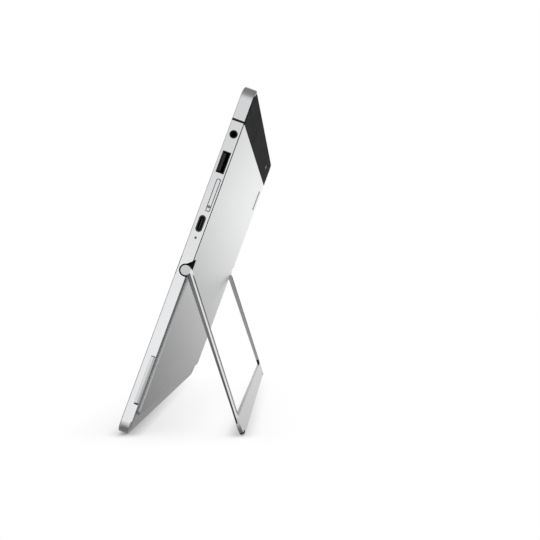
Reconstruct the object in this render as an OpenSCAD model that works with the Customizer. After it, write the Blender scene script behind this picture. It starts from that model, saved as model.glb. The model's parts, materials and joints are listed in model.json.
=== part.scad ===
// Detachable tablet computer with a U-shaped metal kickstand, standing at its
// working angle on a table. Built in the tablet's own axes (x across, y from
// the glass to the back, z from the bottom edge to the top edge) and leaned
// back by stand(). Millimetres. +X is the user's right, the screen faces -Y.

/* [Tablet] */
// Width of the tablet
width = 300; // [285:1:310]
// Height of the tablet from the bottom edge to the top edge
height = 214.5; // [212:0.5:216]
// Overall thickness from the glass to the back plate
thick = 8.1; // [8.1:0.1:8.6]
// Outline corner radius seen from the front
corner_r = 8; // [7.5:0.5:10]
// Thickness of the frame's side walls
wall = 1.5; // [1.2:0.1:1.8]
// Angle between the standing tablet and the vertical
lean = 20.1; // [12:0.1:35]

/* [Kickstand] */
// Distance of the kickstand pivot above the bottom edge
pivot_z = 101.8; // [98:0.1:106]
// Distance of the kickstand pivot behind the glass
pivot_y = 5.1; // [5.0:0.05:5.2]
// Radius of the kickstand's round hubs
hub_r = 2.9; // [2.6:0.1:3.2]
// Radius of the hub pockets in the frame
pocket_r = 3.8; // [3.5:0.1:3.9]
// Width of each kickstand arm
arm_w = 6.4; // [5:0.2:8]
// Height of the kickstand's crossbar
bar_h = 11.2; // [9:0.2:14]
// Depth of the crossbar's recess floor behind the glass
floor_y = 5.75; // [5.65:0.05:5.9]
// Depth of the arm recess floor at the hubs, where the arms are thickest
deep_y = 4.35; // [4.3:0.05:4.8]
// Back edge of the frame's side walls beside the arms
wall_y = 6.35; // [6.2:0.05:6.6]
// Total opening angle of the kickstand
open_max = 133; // [120:1:140]

/* [Side connectors] */
// Height of the headset jack above the bottom edge
jack_z = 184.8; // [183:0.1:186]
// Height of the large USB port
usba_z = 167.6; // [167:0.1:169]
// Height of the card tray
sim_z = 147.8; // [147:0.1:149]
// Height of the small reversible USB port
usbc_z = 130.0; // [129:0.1:131]
// Height of the charge light
led_z = 121.3; // [121:0.1:122]
// Height of the antenna break above the bottom edge
break_z = 193.1; // [192.5:0.1:194]

/* [Display] */
// Width of the lit area of the screen
active_w = 253.6; // [245:0.1:256]
// Height of the lit area of the screen
active_h = 169.1; // [164:0.1:171]

/* [Hidden] */

$fn = 64;
overlap = 0.01;
side = width/2;               // right side face
glass_t = 0.75;
rim_y = 0.95;                 // ledge in the metal frame that carries the glass
rim_w = 5.4;                  // reach of that ledge in from the outline
cham = 0.45;                  // chamfer round the frame's front edge
side_back = thick - 0.75;     // back of the frame's side wall
back_in = thick - 0.9;        // inside of the back plate
break_half = 0.65;            // half height of the gap between the frames

// kickstand and its recess
play = 0.05;                  // clearance in front of and behind the kickstand
leg_front = floor_y + play;
leg_back = thick - play;
leg_side = side - 0.02;       // outer side of the arms
flange_y = 7.0;               // front of the flange that is flush with the sides
arm_x = side - arm_w;         // inner side of each kickstand arm
step_x = arm_x - 0.2;         // outer face of the back plate's step
foot_z = 1.0;                 // closed kickstand's outer edge
pad_z = foot_z - 0.15;        // rubber feet stand a little proud of it
shaft_r = 1.2;
tight_r = 1.203;              // bore of the parts fixed on the shaft
loose_r = 1.25;               // bore of the parts the shaft turns in

// standing pose
lift = floor_y * sin(lean);   // lifts the lower back edge to the table
pivot_up = pivot_z*cos(lean) - pivot_y*sin(lean) + lift;
foot_down = pivot_z - pad_z;
foot_back = leg_front - pivot_y;
arm_angle = acos(pivot_up / sqrt(foot_down*foot_down + foot_back*foot_back))
  - atan(foot_back/foot_down);
rest_open = arm_angle + lean; // opening of the kickstand as it stands
pose_front = cham * sin(lean);
pose_back = (height - 2.0)*sin(lean) + thick*cos(lean);

// parts shared between sections; pairs ending in _at are [y, z]
speaker_x = side - 3.6;
speaker_z = 63;
lug_x = side - 10.6;
lug_z = [30, 86, 117, 178];
camera_x = -100;
camera_z = 203.2;
top_y = 4.6;                  // middle of the openings in the top edge
mic_x = [-10, 30];
power_x = -120;
rocker_x = -123.5;
rocker_z = 174.0;
rocker_y = 6.25;              // depth of the rocker's pin
jack_y = 4.05;
usba_at = [4.1, usba_z];
sim_at = [5.15, sim_z];
usbc_at = [4.0, usbc_z];
led_y = 4.1;
dock_y = 3.4;
socket_x = 44;                // dock sockets, left and right
board_y = 3.4;                // front of the circuit boards
board_back = 4.2;

silver = [0.80, 0.81, 0.82];
satin = [0.72, 0.73, 0.75];
dark = [0.14, 0.14, 0.15];
black = [0.05, 0.05, 0.06];
gold = [0.83, 0.66, 0.30];
steel = [0.62, 0.63, 0.65];
green = [0.08, 0.27, 0.17];
copper = [0.72, 0.45, 0.28];

// depth of the arm recess floor at height z
function floor_at(z) = floor_y - (floor_y - deep_y)*(z - bar_h)/(pivot_z - bar_h);

// ---------- helpers ----------
// leans the tablet back and puts the table at z = 0
module stand() {
  translate([0, -(pose_front + pose_back)/2, lift]) rotate([-lean, 0, 0]) children();
}
// turns the closed kickstand open about its pivot
module opened() {
  translate([0, pivot_y, pivot_z]) rotate([rest_open, 0, 0])
    translate([0, -pivot_y, -pivot_z]) children();
}
module both() {
  children();
  mirror([1, 0, 0]) children();
}
// front-view outline drawn in x,z and given a thickness from y0 to y1
module slab(y0, y1) {
  translate([0, y1, 0]) rotate([90, 0, 0]) linear_extrude(height = y1 - y0)
    children();
}
// side-view outline drawn in y,z and run from x0 to x1
module across(x0, x1) {
  translate([x0, 0, 0]) rotate([90, 0, 90]) linear_extrude(height = x1 - x0)
    children();
}
// rounded rectangle between two opposite corners
module rounded(low, high, r) {
  translate([low[0] + r, low[1]]) square([high[0] - low[0] - 2*r, high[1] - low[1]]);
  translate([low[0], low[1] + r]) square([high[0] - low[0], high[1] - low[1] - 2*r]);
  for (x = [low[0] + r, high[0] - r], y = [low[1] + r, high[1] - r])
    translate([x, y]) circle(r = r);
}
// rounded rectangle from its centre and half sizes
module rounded_at(center, half, r) rounded(center - half, center + half, r);
module box(x0, x1, y0, y1, z0, z1) {
  translate([x0, y0, z0]) cube([x1 - x0, y1 - y0, z1 - z0]);
}
// block wider than the tablet, between two heights
module level(z0, z1, y0 = -1) box(-width, width, y0, thick + 1, z0, z1);
// block from the right side face inwards
module notch(depth, y0, y1, z0, z1) box(side - depth, side, y0, y1, z0, z1);
// round bar along x, along y and along z
module barx(x0, x1, y, z, r) {
  translate([x0, y, z]) rotate([0, 90, 0]) cylinder(r = r, h = x1 - x0);
}
module bary(x, y0, y1, z, r) {
  translate([x, y0, z]) rotate([-90, 0, 0]) cylinder(r = r, h = y1 - y0);
}
module barz(x, y, z0, z1, r) {
  translate([x, y, z0]) cylinder(r = r, h = z1 - z0);
}
// round bar on the kickstand's axis
module axle(x0, x1, r) barx(x0, x1, pivot_y, pivot_z, r);
// tablet's front outline, inset
module outline(inset) {
  rounded([-side + inset, inset], [side - inset, height - inset], corner_r - inset);
}
module band(outer, inner) {
  difference() {
    outline(outer);
    outline(inner);
  }
}
// full outline with its front edge chamfered, from the glass side to depth c
module chamfered(c) {
  across(-side + corner_r, side - corner_r)
    polygon([[0, c], [c, 0], [c, height], [0, height - c]]);
  translate([0, 0, corner_r]) linear_extrude(height = height - 2*corner_r)
    polygon([[-side + c, 0], [side - c, 0], [side, c], [-side, c]]);
  for (x = [-side + corner_r, side - corner_r], z = [corner_r, height - corner_r])
    translate([x, 0, z]) rotate([-90, 0, 0]) cylinder(r1 = corner_r - c, r2 = corner_r, h = c);
}
// screw with its tip at y0, its flat head from head_y to y1
module screw(x, z, y0, head_y, y1, shank_r, head_r) {
  difference() {
    union() {
      bary(x, y0, head_y + overlap, z, shank_r);
      bary(x, head_y, y1, z, head_r);
    }
    bary(x, y1 - 0.2, y1 + 1, z, head_r*0.42);
  }
}

// ---------- display ----------
// speaker slot seen from the front
module speaker_slot(half, r) rounded_at([speaker_x, speaker_z], half, r);
module cover_glass() color(black) stand() difference() {
  slab(0, glass_t) outline(1.05);
  both() slab(-1, 2) speaker_slot([0.75, 12.5], 0.7);
}
module glass_gasket() color(black) stand() difference() {
  slab(glass_t, rim_y) band(1.2, rim_w);
  both() slab(-1, 2) speaker_slot([0.95, 13], 0.9);
}
module display_panel() color([0.10, 0.16, 0.30]) stand() {
  border = 3;
  panel_x = active_w/2 + border;
  active_z = height/2 - active_h/2;
  active_top = active_z + active_h;
  box(-panel_x, panel_x, glass_t, 2.5, active_z - border, active_top + 4);
  box(-60, 60, 1.2, 2.2, active_top + 3.9, active_top + 8);
}
module display_support() color([0.45, 0.46, 0.48]) stand() difference() {
  slab(2.6, 3.1) rounded([-side + 9, 7], [side - 9, 199], 4);
  // four lower and two upper windows
  for (x = [-96, -32, 32, 96]) slab(2, 4) rounded([x - 24, 26], [x + 24, 88], 6);
  for (x = [-60, 60]) slab(2, 4) rounded([x - 34, 120], [x + 34, 180], 6);
  // notches in both sides, level with the connectors and the speakers
  both() notch(21, 2, 4, 155, 174.9);
  both() notch(16, 2, 4, 180.5, 189);
  both() notch(14, 2, 4, 50, 76);
  both() notch(11, 2, 4, usbc_z - 5.4, usbc_z + 5.4);
  // passage for the display cable
  box(-22, -4, 2, 4, 101, 111);
  for (z = lug_z) both() bary(lug_x, 2, 4, z, 0.85);
}
module support_screws() color(steel) stand()
  for (z = lug_z) both() screw(lug_x, z, 1.75, 3.1, 3.55, 0.6, 1.3);
module display_cable() color([0.75, 0.45, 0.15]) stand() {
  box(-20, -6, 2.55, 2.75, 102, 110);
  box(-20, -6, 2.74, 4.3, 108.9, 109.3);
  box(-20, -6, 4.21, 4.4, 109.2, 118);
}

// ---------- housing ----------
// side profile cut for the kickstand's hub and its fully open arm
module hub_cut(x0, x1) {
  arm_gap = 3.1;     // from the pivot to the open arm's face
  cut_len = 12;      // length of the cut along the open arm
  start = arm_gap*[cos(open_max), sin(open_max)];
  barx(x0, x1, pivot_y, pivot_z, pocket_r);
  across(x0, x1) translate([pivot_y, pivot_z]) polygon([
    start, start + cut_len*[sin(open_max), -cos(open_max)],
    [14, 0], [0.8, -4], [0, 0]]);
}
// rounded opening or shell along x, from its [y, z] centre and half sizes
module port(x0, x1, center, half, r) across(x0, x1) rounded_at(center, half, r);
module port_cuts() {
  in_x = side - 3;
  out_x = side + 1;
  barx(in_x, out_x, jack_y, jack_z, 2.45);
  port(in_x, out_x, usba_at, [2.5, 6.6], 0.25);
  port(in_x, out_x, sim_at, [1.3, 9.95], 0.6);
  port(in_x, out_x, usbc_at, [1.7, 4.75], 1.65);
  barx(in_x, out_x, led_y, led_z, 0.5);
}
module frame_ring() {
  difference() {
    union() {
      chamfered(cham);
      slab(cham, rim_y + 0.02) outline(0);
    }
    slab(-1, rim_y + 0.1) outline(0.95);
  }
  slab(rim_y, side_back) band(0, wall);
  slab(rim_y, 1.55) band(wall - 0.1, rim_w);
}
// ledge that the closed kickstand lies on, deeper towards the hubs
module recess_ledge() {
  front = floor_y - 0.65;
  end_z = pivot_z - 6;
  slab(front, floor_y) difference() {
    outline(wall - 0.1);
    rounded([-step_x + 1.6, bar_h + 2.4], [step_x - 1.6, height + 20], 3);
    both() translate([step_x - 1.65, bar_h]) square([width, height]);
    translate([-width, bar_h + 6]) square([2*width, height]);
  }
  both() across(step_x - 1.7, side - wall + 0.1) polygon([
    [front, bar_h - 2], [floor_y, bar_h - 2], [floor_y, bar_h],
    [floor_at(end_z), end_z], [floor_at(end_z) - 0.6, end_z], [front, bar_h]]);
}
// room for the closed kickstand, its hubs and its fully open arms
module kickstand_cuts() {
  slope_z = pivot_z - 8;
  // bottom wall stops at the recess floor, side walls stand a little above it
  box(-width, width, floor_y, thick + 1, -1, 9);
  box(-side + wall, side - wall, floor_y, thick + 1, -1, bar_h + 0.5);
  both() box(side - wall - 0.5, side + 1, wall_y, thick + 1, -1, pivot_z);
  both() across(step_x + 0.15, side - wall) polygon([
    [floor_at(slope_z) - 0.02, slope_z], [deep_y - 0.02, pivot_z],
    [thick + 1, pivot_z], [thick + 1, slope_z]]);
  both() hub_cut(step_x + 0.15, side + 1);
  both() axle(step_x - 3, step_x + 2, 1.27);
}
module side_frame() color(silver) stand() difference() {
  union() {
    intersection() {
      frame_ring();
      level(-1, break_z - break_half);
    }
    recess_ledge();
    // bosses around the hub pockets
    both() box(step_x - 1.1, side - wall + 0.1, rim_y, back_in - 0.05,
      pivot_z - 6.5, pivot_z + 11);
    // lugs for the display support
    for (z = lug_z) both() box(side - 12.4, side - wall + 0.1, 1.54, 2.6, z - 1.9, z + 1.9);
  }
  kickstand_cuts();
  port_cuts();
  // thumb scoops that let a finger lift the kickstand
  both() translate([0, 0, 19.2]) linear_extrude(height = 29.7)
    polygon([[side + 1, 3.4], [side, 3.4], [side - 0.95, wall_y], [side - 0.95, 7],
      [side + 1, 7]]);
  for (z = lug_z) both() bary(lug_x, 1.65, 4, z, 0.65);
  both() box(speaker_x - 0.95, speaker_x + 0.95, 0, 2, speaker_z - 13, speaker_z + 13);
  // openings of the dock in the bottom edge
  slab(dock_y - 1.4, dock_y + 1.4) rounded([-18, -1], [18, 3], 0.5);
  both() barz(socket_x, dock_y, -1, 7, 2.05);
}
// outline of the radio window, grown
module window_shape(grow) {
  rounded([-side + 0.15 - grow, 150], [side - 0.15 + grow, height - 2.2 + grow], 6 + grow);
}
module top_frame() color(silver) stand() difference() {
  union() {
    intersection() {
      frame_ring();
      level(break_z + break_half, height + 1);
    }
    // lip that runs over the top edge to the back
    slab(side_back - 0.02, thick) difference() {
      intersection() {
        outline(0);
        translate([-width, height - 5]) square([2*width, 9]);
      }
      window_shape(0.12);
    }
  }
  // the lip's outer edge slopes from the top face to the back
  across(-width, width) polygon([[thick - 1.3, height], [thick, height - 2.0],
    [thick + 1, height - 2.0], [thick + 1, height + 1], [thick - 1.3, height + 1]]);
  // openings of the power button and the microphones
  slab(top_y - 1.25, top_y + 1.25)
    rounded([power_x - 8.1, height - 3], [power_x + 8.1, height + 1], 0.4);
  for (x = mic_x) barz(x, top_y, height - 3, height + 1, 0.45);
}
module antenna_breaks() color(dark) stand() intersection() {
  union() {
    both() linear_extrude(height = height) polygon([[side - 0.93, 0.03],
      [side - 0.47, 0.03], [side - 0.03, 0.47], [side - 0.03, side_back],
      [side - wall, side_back], [side - wall, rim_y], [side - 0.93, rim_y]]);
    slab(rim_y + 0.1, back_in - 0.05) band(wall - 0.1, 3.4);
  }
  level(break_z - 0.62, break_z + 0.62);
}
// outer outline of the back plate's step
module step_shape() rounded([-step_x, bar_h + 0.75], [step_x, height], 3);
module back_plate() color(satin) stand() difference() {
  slope_z = bar_h + 5;
  step_top = pivot_z - 6.7;
  inner = back_in + 0.1;
  union() {
    difference() {
      union() {
        slab(thick - 0.28, thick) outline(0.4);
        slab(back_in, thick - 0.2) outline(wall + 0.15);
      }
      // cleared for the kickstand's arms and crossbar
      level(-1, pivot_z - 10, 0);
      both() box(step_x, width, 0, thick + 1, -1, pivot_z);
      // cleared for the radio window
      level(break_z - 1.15, height + 1, 0);
    }
    slab(back_in, thick) intersection() {
      step_shape();
      translate([-width, 0]) square([2*width, pivot_z]);
    }
    // step down to the recess floor
    slab(leg_front, inner) difference() {
      step_shape();
      rounded([-step_x + 1, bar_h + 1.75], [step_x - 1, height + 9], 2);
      translate([-width, step_top]) square([2*width, height]);
    }
    both() across(step_x - 1, step_x) polygon([[leg_front, slope_z],
      [inner, slope_z], [inner, step_top],
      [floor_at(step_top) + play, step_top], [floor_at(slope_z) + play, slope_z]]);
  }
  both() hub_cut(step_x, width);
  // window of the volume rocker
  slab(back_in - 1, thick + 1) rounded_at([rocker_x, rocker_z], [1.45, 9.2], 1.2);
}
module radio_window() color(dark) stand() difference() {
  union() {
    slab(side_back + 0.1, thick) window_shape(0);
    slab(back_in, side_back + 0.2) intersection() {
      outline(wall + 0.15);
      window_shape(0);
    }
  }
  level(-1, break_z - 1.1, 0);
  bary(camera_x, back_in - 1, thick + 1, camera_z, 3.5);
}

// ---------- cameras, microphones, antennas ----------
module rear_camera_window() color([0.03, 0.03, 0.05]) stand()
  bary(camera_x, back_in + 0.1, thick - 0.1, camera_z, 3.42);
module rear_camera() color(dark) stand() difference() {
  union() {
    box(camera_x - 4.5, camera_x + 4.5, 3.4, 5.2, camera_z - 4.4, camera_z + 4.4);
    bary(camera_x, 5.1, 7.2, camera_z, 3.2);
  }
  bary(camera_x, 6.0, 8, camera_z, 1.9);
}
module front_camera() color(dark) stand() difference() {
  lens_z = 203.9;
  union() {
    box(-4, 4, 1.9, 4.6, 200.4, 207.4);
    bary(0, 0.85, 2, lens_z, 2.4);
    // strip beside the camera and the bridge to it
    box(9, 26, 3.6, 4.3, 200.4, 207.4);
    box(3.9, 9.1, 3.7, 3.9, 202, 206);
  }
  bary(0, 0, 1.5, lens_z, 1.2);
}
module microphones() color(steel) stand() for (x = mic_x)
  box(x - 1.8, x + 1.8, top_y - 1, top_y + 1, height - 3.2, height - wall - 0.05);
antenna_z = 200.5;
module antennas() color([0.75, 0.72, 0.62]) stand() {
  for (x = [-70, 70]) difference() {
    box(x - 24, x + 24, 3.7, 7.0, antenna_z, 211);
    box(x - 22.5, x + 22.5, 5, 8, 202, 209.5);
  }
  both() box(131, 141, 3.7, 7.0, antenna_z, 209);
}
// thin coaxial leads from the radio cards to the antennas
module antenna_cables() color(black) stand() {
  lead_r = 0.45;
  near_y = 5.2;
  far_y = 6.4;
  card_z = 195.6;
  end_z = antenna_z - 0.05;
  for (x = [-90, -66]) barz(x, near_y, card_z, end_z, lead_r);
  // lead to the left corner antenna
  barz(-114.5, near_y, card_z, 197.6, lead_r);
  barx(-134.95, -114.05, near_y, 197.6, lead_r);
  barz(-134.5, near_y, 197.6, end_z, lead_r);
  // lead to the right long antenna
  barx(-60.5, 70, far_y, 197.2, lead_r);
  barz(70, far_y, 197.2, end_z, lead_r);
}

// ---------- speakers ----------
// body beside the frame, shelf behind the slot and nozzle into the slot
module speaker_body() difference() {
  union() {
    box(side - 18.5, step_x - 2, 3.2, 5.1, 41, 84);
    box(step_x - 2.1, side - wall - 0.3, 2.3, 3.85, 41, 83.6);
    box(speaker_x - 0.85, speaker_x + 0.85, 1.0, 2.31, speaker_z - 12.8, speaker_z + 12.8);
  }
  box(speaker_x - 0.5, speaker_x + 0.5, 0.5, 3.5, speaker_z - 12.4, speaker_z + 12.4);
}
module speaker_right() color(black) stand() speaker_body();
module speaker_left() color(black) stand() mirror([1, 0, 0]) speaker_body();
module speaker_meshes() color(dark) stand() both()
  slab(0.12, 0.7) speaker_slot([0.7, 12.45], 0.65);

// ---------- power ----------
cell_pitch = 63;
battery_z = 56.5;
// the four cells, grown for their pockets in the tray
module cells(y0, y1, grow, r)
  for (i = [-1.5:1.5]) translate([i*cell_pitch, 0, 0])
    slab(y0, y1) rounded_at([0, battery_z], [29.5 + grow, 37 + grow], r);
module battery_cells() color([0.20, 0.20, 0.22]) stand() cells(3.35, 6.4, 0, 1.2);
module battery_tray() color(black) stand() difference() {
  slab(3.15, 6.2) rounded_at([0, battery_z], [127.5, 39.9], 2);
  cells(3.3, 8, 0.4, 1);
}
module battery_board() color(green) stand() {
  box(-44, 44, board_y, board_back, 97, 102.6);
  for (x = [-34, -22, 16, 30]) box(x, x + 6, board_back - 0.01, 5.2, 98.2, 101.2);
}
module battery_cable() color([0.65, 0.12, 0.10]) stand()
  for (i = [0:4]) barz(24 + i*1.6, 4.72, 101.4, 117, 0.5);

// ---------- electronics ----------
// [x, z] of the main board's screws
board_holes = [[-48, 118], [-48, 185], [60, 118], [60, 185], [118, 116.5], [112, 185]];
module main_board() color(green) stand() difference() {
  slab(board_y, board_back) rounded([-52, 114], [side - 3.2, 189], 1);
  // notches for the connectors
  notch(16.4, 3, 5, usba_z - 7.2, usba_z + 7.2);
  notch(10.4, 3, 5, usbc_z - 5.4, usbc_z + 5.4);
  notch(14.4, 3, 5, jack_z - 3.9, jack_z + 6);
  // notches for the two upper lugs
  notch(13.4, 3, 5, 111, 119.6);
  notch(13.4, 3, 5, 175.6, 180.4);
  for (hole = board_holes) bary(hole[0], 3, 5, hole[1], 1.05);
}
module board_screws() color(steel) stand() for (hole = board_holes)
  screw(hole[0], hole[1], 3.12, board_back, 4.75, 0.8, 1.7);
module processor() color([0.12, 0.13, 0.15]) stand() {
  box(8, 32, board_back, 4.7, 142, 158.5);
  box(12, 26, 4.69, 5.05, 146, 154);
}
module memory_chips() color([0.09, 0.09, 0.10]) stand()
  for (x = [40, 54], z = [138, 152]) box(x, x + 11, board_back, 5.0, z, z + 9);
module board_chips() color([0.11, 0.11, 0.12]) stand() {
  pitch = 7;
  for (x = [-44, -30, 78, 92], z = [124, 168]) box(x, x + 7, board_back, 5.1, z, z + 7);
  for (i = [0:5]) box(-42 + i*pitch, -39 + i*pitch, board_back, 5.6, 142, 145);
  for (i = [0:4]) box(76 + i*pitch, 79 + i*pitch, board_back, 5.6, 144, 148);
}
module heat_spreader() color(copper) stand() difference() {
  union() {
    slab(5.07, 5.35) rounded([2, 134], [70, 166], 3);
    slab(5.07, 5.35) rounded([-14, 150], [4, 158], 1);
  }
  for (x = [5, 67], z = [137, 163]) bary(x, 5, 6, z, 0.9);
}
// plug-in card with two chips on its back
module m2_card(x0, x1, z0) {
  length = x1 - x0;
  box(x0, x1, 5.0, 5.8, z0, z0 + 22);
  box(x0 + 5, x0 + 5 + length*0.32, 5.79, 6.9, z0 + 3, z0 + 19);
  box(x1 - 8 - length*0.3, x1 - 8, 5.79, 6.9, z0 + 3, z0 + 19);
}
module solid_state_drive() color([0.05, 0.20, 0.28]) stand() m2_card(-138, -58.3, 142);
module wifi_card() color(green) stand() m2_card(-120.3, -108.3, 173.5);
module modem_card() color(green) stand() m2_card(-100, -58.3, 173.5);
module card_sockets() color([0.16, 0.15, 0.14]) stand() {
  for (z = [143, 174.5]) difference() {
    box(-60.4, -53, board_y, 6.6, z, z + 20);
    box(-62, -57.8, 4.9, 5.9, z - 2, z + 22);
  }
  difference() {
    box(-110.4, -104, board_y, 6.6, 174.5, 194.5);
    box(-112, -107.8, 4.9, 5.9, 172, 197);
  }
}

// ---------- side connectors ----------
module headset_jack() color(black) stand() difference() {
  union() {
    barx(side - 3.2, side - 0.12, jack_y, jack_z, 2.38);
    box(side - 13.9, side - 3.1, 1.75, 6.3, jack_z - 3.1, jack_z + 3.1);
  }
  barx(side - 13, side + 1, jack_y, jack_z, 1.8);
}
module usb_a_shell() color(steel) stand() difference() {
  port(side - 15.6, side - 0.15, usba_at, [2.44, 6.52], 0.2);
  port(side - 15.2, side + 1, usba_at, [2.14, 6.22], 0.1);
}
module usb_a_tongue() color(black) stand() {
  box(side - 15.15, side - 12.5, 2.0, 6.2, usba_z - 6.1, usba_z + 6.1);
  box(side - 12.55, side - 1.0, 2.2, 3.9, usba_z - 5.5, usba_z + 5.5);
}
module usb_c_shell() color(steel) stand() difference() {
  port(side - 10, side - 0.12, usbc_at, [1.6, 4.6], 1.55);
  port(side - 9.6, side + 1, usbc_at, [1.3, 4.3], 1.25);
}
module usb_c_tongue() color(black) stand() {
  port(side - 9.55, side - 7.4, usbc_at, [1.22, 4.2], 1.2);
  box(side - 7.45, side - 1.0, 3.65, 4.35, usbc_z - 3.35, usbc_z + 3.35);
}
module sim_reader() color(steel) stand() difference() {
  box(side - 24, side - 3.4, 4.25, 6.2, sim_z - 9.6, sim_z + 9.6);
  notch(23.6, 4.6, 5.75, sim_z - 9.1, sim_z + 9.1);
}
module charge_light() color([0.92, 0.93, 0.90]) stand() {
  barx(side - 3.0, side - 0.05, led_y, led_z, 0.44);
  box(side - 4.6, side - 2.9, 4.25, 5.0, led_z - 0.9, led_z + 0.9);
}
// card tray that pulls straight out of the right side
module sim_tray() color(silver) stand() difference() {
  union() {
    port(side - 1.3, side - 0.02, sim_at, [1.22, 9.85], 0.55);
    box(side - 22.5, side - 1.25, 4.75, 5.55, sim_z - 8.8, sim_z + 8.8);
  }
  box(side - 20.6, side - 5.0, 4.9, 6, sim_z - 6.4, sim_z + 6.4);
  barx(side - 1.8, side + 1, sim_at[0], sim_z - 7.1, 0.5);
}
module sim_card() color(gold) stand()
  slab(4.92, 5.5) rounded([side - 20.3, sim_z - 6.1], [side - 5.3, sim_z + 6.1], 0.8);

// ---------- dock in the bottom edge ----------
module dock_pins(z0, z1, r) for (i = [-2:2]) barz(i*6, dock_y, z0, z1, r);
module dock_connector() color(black) stand() difference() {
  slab(dock_y - 1.32, dock_y + 1.32) rounded([-17.9, 0.15], [17.9, 5.4], 0.4);
  dock_pins(-1, 4.5, 0.85);
}
module dock_contacts() color(gold) stand() dock_pins(0.05, 4.4, 0.8);
module dock_sockets() color(steel) stand() both() difference() {
  union() {
    barz(socket_x, dock_y, 0.1, 6.6, 2.0);
    box(socket_x - 3, socket_x + 3, dock_y - 1.7, dock_y + 1.7, 2.2, 6.6);
  }
  barz(socket_x, dock_y, -1, 5.9, 1.4);
}
module dock_magnets() color([0.35, 0.35, 0.37]) stand()
  for (x = [-117, -92, -70, 54, 76, 101]) box(x, x + 16, 2.0, 4.9, wall + 0.2, 6.0);

// ---------- buttons ----------
wall_in = height - wall;      // inside of the top wall
module power_button() color(silver) stand() {
  slab(top_y - 1.18, top_y + 1.18)
    rounded([power_x - 8, wall_in - 0.2], [power_x + 8, height + 0.35], 0.35);
  box(power_x - 9.4, power_x + 9.4, top_y - 1.6, top_y + 1.6, wall_in - 0.9, wall_in - 0.15);
}
// block centred on the rocker in x and z
module rocker_block(half_x, y0, y1, half_z)
  box(rocker_x - half_x, rocker_x + half_x, y0, y1, rocker_z - half_z, rocker_z + half_z);
module rocker_rod(half, r) barx(rocker_x - half, rocker_x + half, rocker_y, rocker_z, r);
module volume_rocker() color(satin) stand() difference() {
  union() {
    slab(6.6, thick + 0.5) rounded_at([rocker_x, rocker_z], [1.3, 9.05], 1.1);
    rocker_block(1.3, 6.1, 6.75, 9.7);
    rocker_block(1.3, 5.5, 6.7, 1.6);
  }
  rocker_rod(3, 0.46);
}
module rocker_pin() color(steel) stand() rocker_rod(2.1, 0.4);
module rocker_bracket() color(steel) stand() difference() {
  union() {
    rocker_block(2.1, board_y, 3.8, 12);
    for (x = [rocker_x - 2.1, rocker_x + 1.45])
      box(x, x + 0.65, 3.79, 6.95, rocker_z - 1.6, rocker_z + 1.6);
  }
  rocker_rod(3, 0.402);
}
// switches under both ends of the rocker and behind the power button
module button_board() color([0.70, 0.42, 0.12]) stand() {
  for (z = [rocker_z - 6.7, rocker_z + 6.7]) {
    box(rocker_x - 1.3, rocker_x + 1.3, 4.1, 5.3, z - 1.5, z + 1.5);
    bary(rocker_x, 5.29, 5.72, z, 0.7);
  }
  for (z = [rocker_z - 7, rocker_z + 7])
    box(rocker_x - 1.6, rocker_x + 1.6, 3.85, 4.11, z - 4, z + 4);
  box(power_x - 3, power_x + 3, top_y - 1, top_y + 1, wall_in - 3.6, wall_in - 1.9);
  barz(power_x, top_y, wall_in - 1.95, wall_in - 1.3, 0.7);
}

// ---------- kickstand ----------
ring_r = 1.85;                // outer radius of the washers and nuts
// friction barrel, fixed to the frame by a drilled tab
module hinge_barrels() color(steel) stand() both() difference() {
  union() {
    axle(121, step_x - 1.3, 1.9);
    box(124, 139, 4.4, 5.8, pivot_z, pivot_z + 7);
  }
  axle(120, side, loose_r);
  for (x = [127, 136]) bary(x, 4, 7, pivot_z + 4.6, 0.9);
}
module hinge_washers() color([0.5, 0.5, 0.52]) stand() both()
  for (i = [0:3]) difference() {
    axle(117.2 + i*0.95, 117.9 + i*0.95, ring_r);
    axle(110, 130, loose_r);
  }
module hinge_shafts() color(steel) stand() opened() both()
  axle(114.6, arm_x + 1.6, shaft_r);
module hinge_nuts() color([0.55, 0.50, 0.38]) stand() opened() both() difference() {
  axle(115, 116.9, ring_r);
  axle(110, 130, tight_r);
}
// closed kickstand's outer outline seen from the front, up to height top
module leg_outline(top) {
  intersection() {
    rounded([-leg_side, foot_z], [leg_side, height], corner_r - 0.2);
    translate([-width, -1]) square([2*width, top + 1]);
  }
}
// opening between the arms
module leg_opening() rounded([-arm_x, bar_h + 0.55], [arm_x, height + 20], 1.6);
module kickstand() color(silver) stand() opened() difference() {
  web_x = side - wall - 2.2;
  union() {
    // crossbar, full size at the corners
    slab(leg_front, leg_back) difference() {
      leg_outline(8.7);
      leg_opening();
    }
    // upper part of the crossbar, between the frame's walls
    slab(leg_front, leg_back) difference() {
      intersection() {
        leg_outline(16);
        translate([-side + wall + 0.15, -1]) square([width - 2*wall - 0.3, 40]);
      }
      leg_opening();
    }
    // outer flange flush with the sides
    slab(flange_y, leg_back) difference() {
      leg_outline(pivot_z);
      leg_opening();
    }
    // arm webs inside the frame's walls, deeper towards the hubs, outer side sloped
    both() intersection() {
      across(arm_x, side) polygon([
        [leg_front, bar_h - 1], [leg_front, bar_h], [deep_y + play, pivot_z],
        [flange_y + 0.1, pivot_z], [flange_y + 0.1, bar_h - 1]]);
      linear_extrude(height = height) polygon([[arm_x, 3], [web_x, 3],
        [web_x, deep_y], [side - wall - 0.15, wall_y + 0.1],
        [leg_side, flange_y + 0.05], [leg_side, thick - 1], [arm_x, thick - 1]]);
    }
    both() axle(arm_x, leg_side, hub_r);
  }
  // bores for the shafts and seats of the caps
  both() axle(arm_x - 1, arm_x + 1.7, tight_r);
  both() axle(side - 0.5, side + 1, hub_r - 0.35);
  // seats of the rubber feet
  both() box(137, width, floor_y - 1, thick + 1, -1, 2.42);
}
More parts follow.
